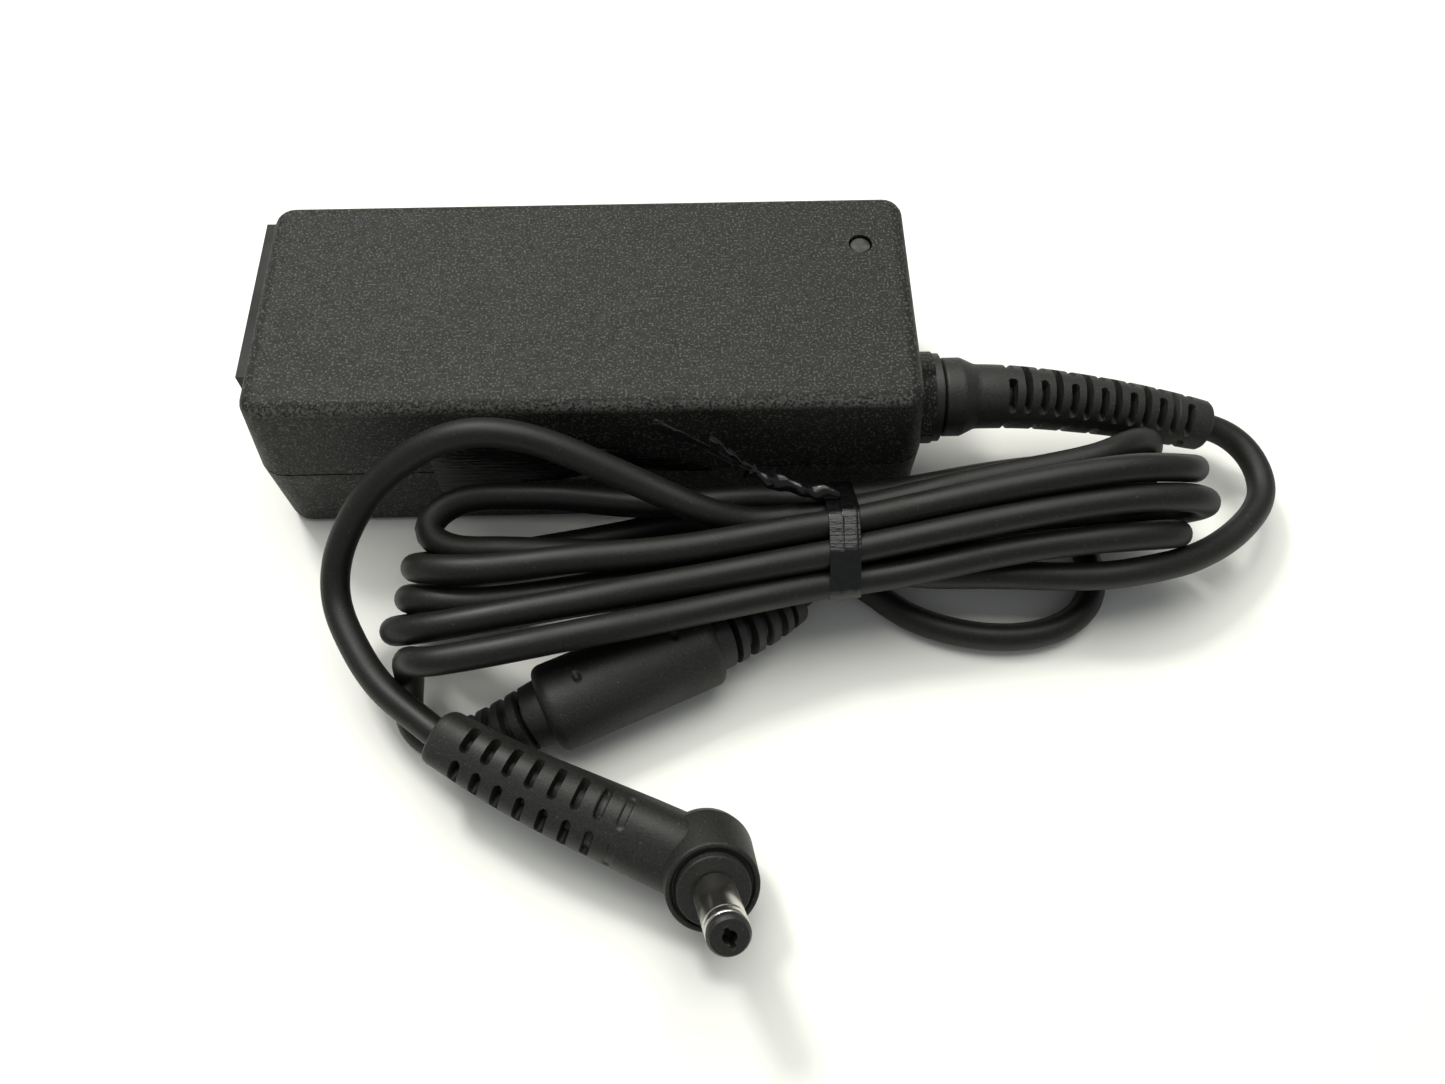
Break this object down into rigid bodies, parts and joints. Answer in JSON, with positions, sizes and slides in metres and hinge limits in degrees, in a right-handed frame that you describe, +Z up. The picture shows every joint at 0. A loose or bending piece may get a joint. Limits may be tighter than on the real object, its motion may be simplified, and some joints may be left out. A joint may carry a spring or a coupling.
{
  "type": "laptop power adapter",
  "caption": "Black laptop power adapter: two-part plastic case with a three-pin mains inlet, and a tied output cord with a ferrite choke and an angled barrel plug.",
  "frame": {"origin": "under the middle of the housing, on the surface that it stands on; the inlet rim and cord collar count, the free cord doesn't", "axes": "+X along the case towards the end where the output cord leaves, +Y away from the bundled cord, +Z up out of the cover"},
  "size_m": [0.1525, 0.1099, 0.0331],
  "materials": {
    "case_plastic": "fine spark-eroded grain, matt",
    "inlet_plastic": "smooth, satin",
    "cord_pvc": "matt soft PVC",
    "overmould": "matt moulded PVC",
    "tie_film": "glossy film",
    "nickel": "nickel plated, bright",
    "brass": "plain",
    "lens": "moulded, clear grey",
    "led_epoxy": "tinted epoxy",
    "board": "solder resist",
    "insulation": "fibre sheet",
    "label": "printed film, left plain",
    "capacitor_sleeve": "shrunk film sleeve",
    "film_capacitor": "moulded box",
    "disc_capacitor": "dipped epoxy",
    "ferrite": "sintered, dark grey",
    "copper_wire": "enamelled copper",
    "winding_tape": "polyester tape",
    "aluminium": "mill finish",
    "epoxy": "moulded epoxy",
    "wire_brown": "extruded",
    "wire_blue": "extruded",
    "wire_red": "extruded",
    "wire_black": "extruded"
  },
  "bodies": {
    "root": {"bottom_case": "case_plastic", "top_cover": "case_plastic", "underside_label": "label", "led_lens": "lens", "status_led": "led_epoxy", "inlet_socket": "inlet_plastic", "live_pin": "nickel", "neutral_pin": "nickel", "earth_pin": "nickel", "circuit_board": "board", "insulation_sheet": "insulation", "fuse": "epoxy", "x_capacitor": "film_capacitor", "y_capacitor": "disc_capacitor", "line_choke_core": "ferrite", "line_choke_winding": "copper_wire", "bridge_rectifier": "epoxy", "bulk_capacitor": "capacitor_sleeve", "primary_heatsink": "aluminium", "switching_transistor": "epoxy", "controller_chip": "epoxy", "optocoupler": "epoxy", "transformer_core": "ferrite", "transformer_winding": "winding_tape", "secondary_heatsink": "aluminium", "output_rectifier": "epoxy", "output_capacitor_large": "capacitor_sleeve", "output_capacitor_small": "capacitor_sleeve", "live_wire": "wire_brown", "neutral_wire": "wire_blue", "positive_wire": "wire_red", "negative_wire": "wire_black", "strain_relief": "overmould", "cord_exit_lead": "cord_pvc", "cord_hank": "cord_pvc", "cord_ferrite_lead": "cord_pvc", "cord_plug_lead": "cord_pvc", "ferrite_overmould": "overmould", "ferrite_core": "ferrite", "plug_body": "overmould", "plug_barrel": "nickel", "plug_insulator": "overmould", "plug_contact": "brass", "tie_band": "tie_film", "tie_neck": "tie_film", "tie_tail": "tie_film", "film_strip": "tie_film"}
  },
  "joints": []
}
